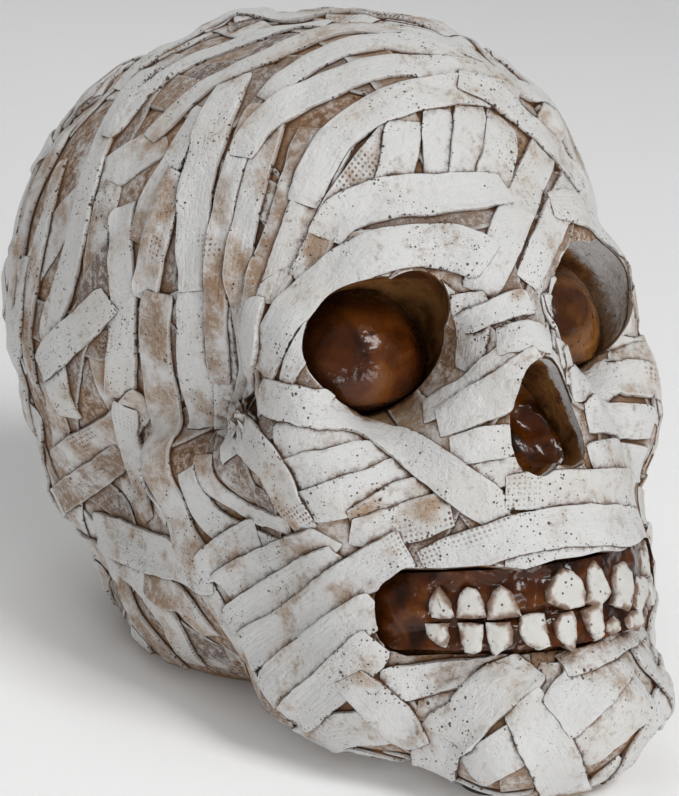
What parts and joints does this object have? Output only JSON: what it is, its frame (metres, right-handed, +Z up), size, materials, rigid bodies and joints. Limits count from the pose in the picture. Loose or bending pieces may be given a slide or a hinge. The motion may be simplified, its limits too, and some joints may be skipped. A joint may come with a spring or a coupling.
{
  "type": "skull coin bank",
  "caption": "Hollow cast skull wrapped in bandage strips, with amber resin in its sockets, a coin slot behind and a plug in its flat base.",
  "frame": {"origin": "on the floor under the middle of the part's outline, at the undersides of the four pads", "axes": "+Z up, the face looks along -Y and the back of the head is at +Y, +X is the skull's own left"},
  "size_m": [0.1208, 0.1798, 0.1413],
  "materials": {
    "painted_resin": "matt off-white paint over filled resin, brown wash in the folds",
    "amber_resin": "glossy dark amber, poured",
    "tooth_resin": "satin ivory, stained brown at the necks",
    "soft_plug": "matt black soft plastic",
    "foam_pad": "matt dark foam"
  },
  "bodies": {
    "bank": {"skull_shell": "painted_resin", "right_eye_dome": "amber_resin", "left_eye_dome": "amber_resin", "nose_lining": "amber_resin", "mouth_lining": "amber_resin", "upper_teeth": "tooth_resin", "lower_teeth": "tooth_resin", "foot_pad_front_right": "foam_pad", "foot_pad_front_left": "foam_pad", "foot_pad_rear_right": "foam_pad", "foot_pad_rear_left": "foam_pad"},
    "plug": {"stopper": "soft_plug"}
  },
  "joints": [
    {"name": "stopper_pull", "type": "slide", "parent": "bank", "child": "plug", "axis": [0, 0, -1], "range_m": [0, 0.03]}
  ]
}
